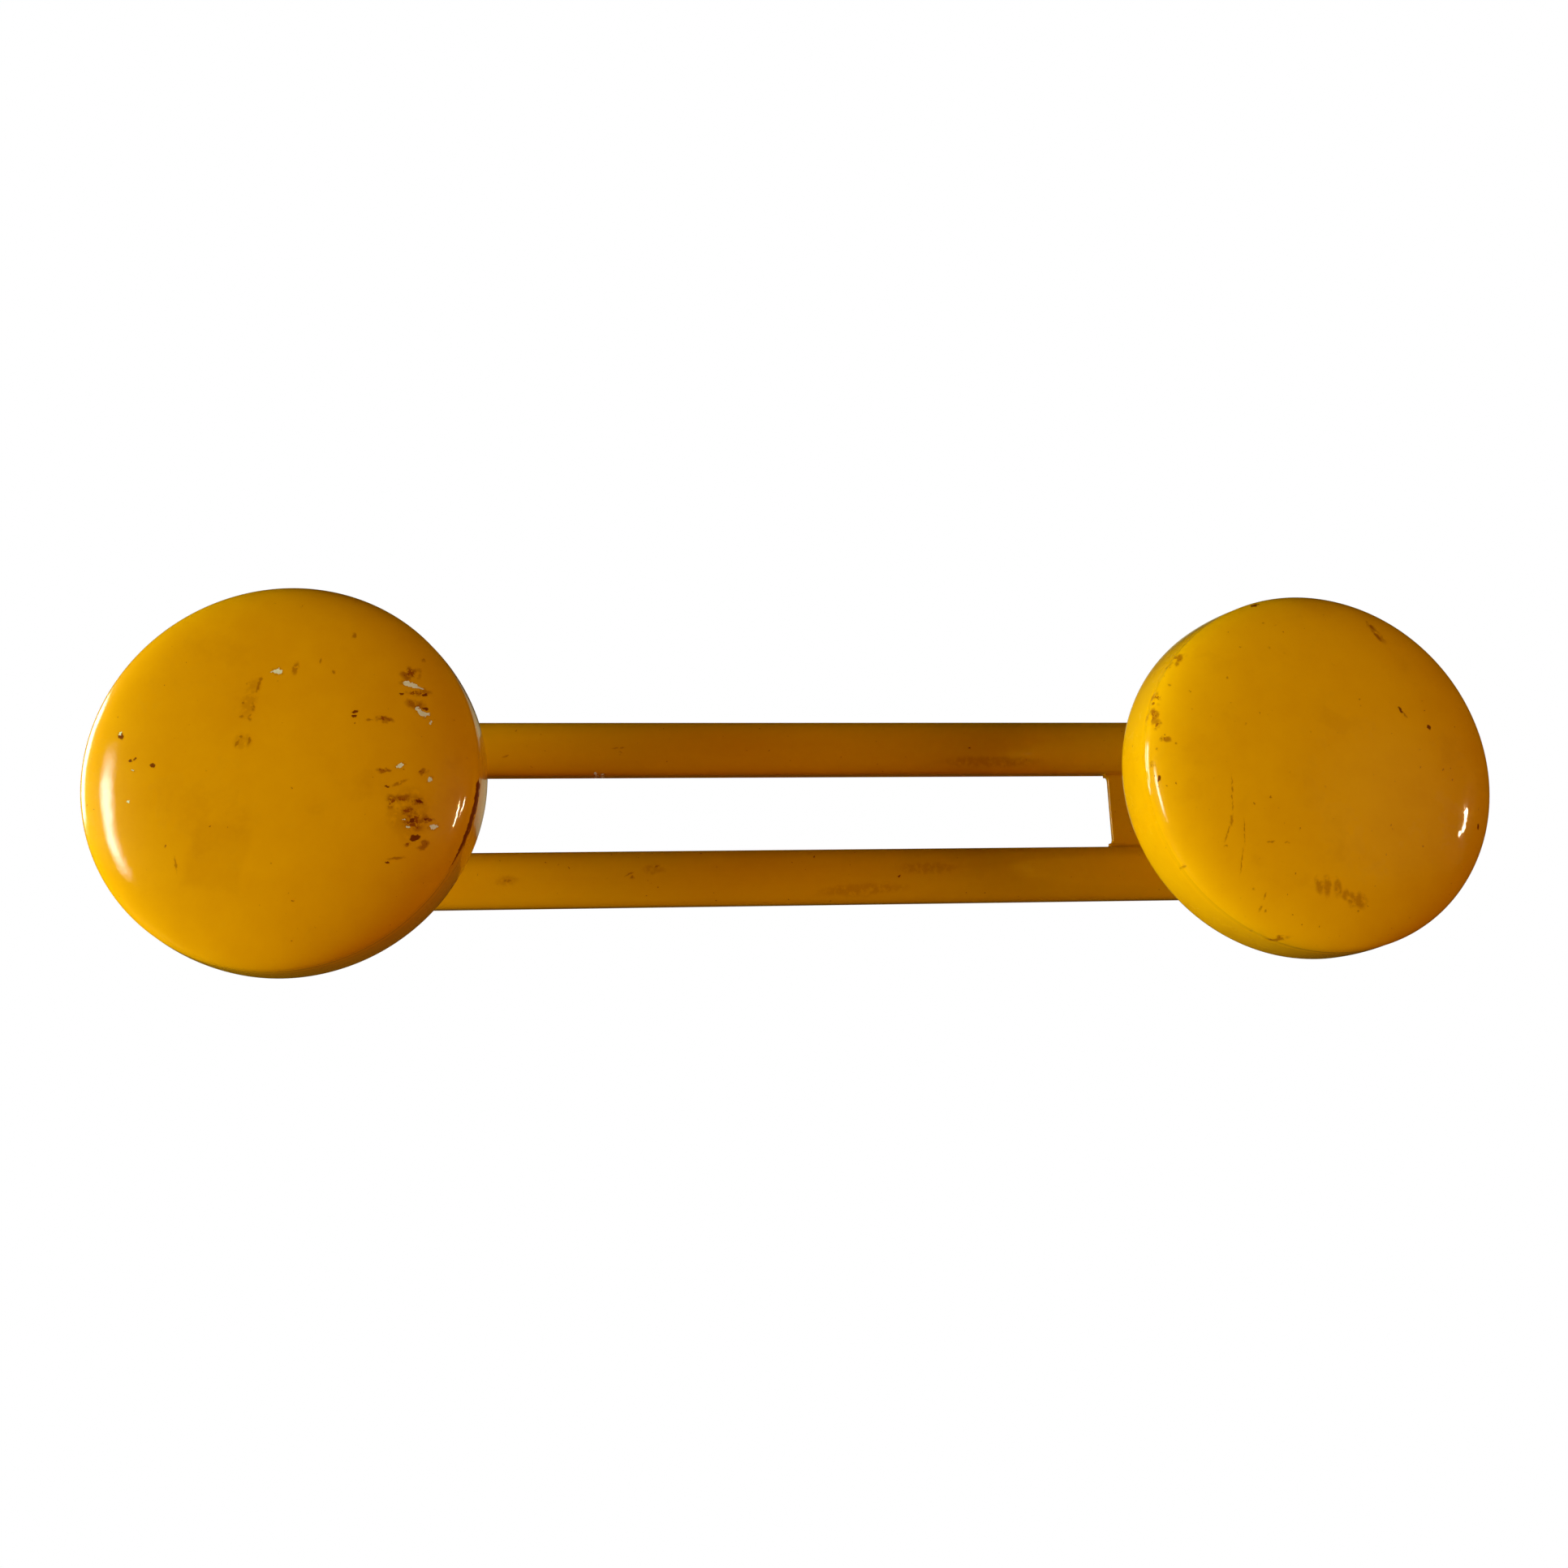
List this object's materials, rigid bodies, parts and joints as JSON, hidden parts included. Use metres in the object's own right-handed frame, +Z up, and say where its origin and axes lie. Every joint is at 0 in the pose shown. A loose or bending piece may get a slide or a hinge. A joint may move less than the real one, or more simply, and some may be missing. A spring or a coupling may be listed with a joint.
{
  "type": "wall coat rack",
  "caption": "Wall coat rack: lens-shaped round knobs on stems at the ends of a flat frame made of parallel rails with a long open slot, all in glossy yellow lacquer.",
  "frame": {"origin": "middle of the rack on the wall plane, halfway between the knob axes and halfway up the frame", "axes": "+X along the rack to the right knob, +Y into the wall, +Z up; the knobs face -Y"},
  "size_m": [0.3, 0.0732, 0.08],
  "materials": {
    "knob_lacquer": "glossy yellow lacquer, worn and chipped",
    "frame_lacquer": "glossy yellow lacquer, slightly dirty",
    "zinc_plate": "dull zinc plate with light rust",
    "bare_steel": "bare steel, darkened by welding"
  },
  "bodies": {
    "root": {"upper_rail": "frame_lacquer", "lower_rail": "frame_lacquer", "left_end_plate": "frame_lacquer", "right_end_plate": "frame_lacquer", "left_stem_tube": "frame_lacquer", "right_stem_tube": "frame_lacquer", "left_seat_washer": "zinc_plate", "right_seat_washer": "zinc_plate", "left_lock_washer": "zinc_plate", "right_lock_washer": "zinc_plate", "left_stem_screw": "zinc_plate", "right_stem_screw": "zinc_plate", "left_knob_nut": "bare_steel", "right_knob_nut": "bare_steel", "left_knob_back": "knob_lacquer", "right_knob_back": "knob_lacquer", "left_knob_front": "knob_lacquer", "right_knob_front": "knob_lacquer"}
  },
  "joints": []
}
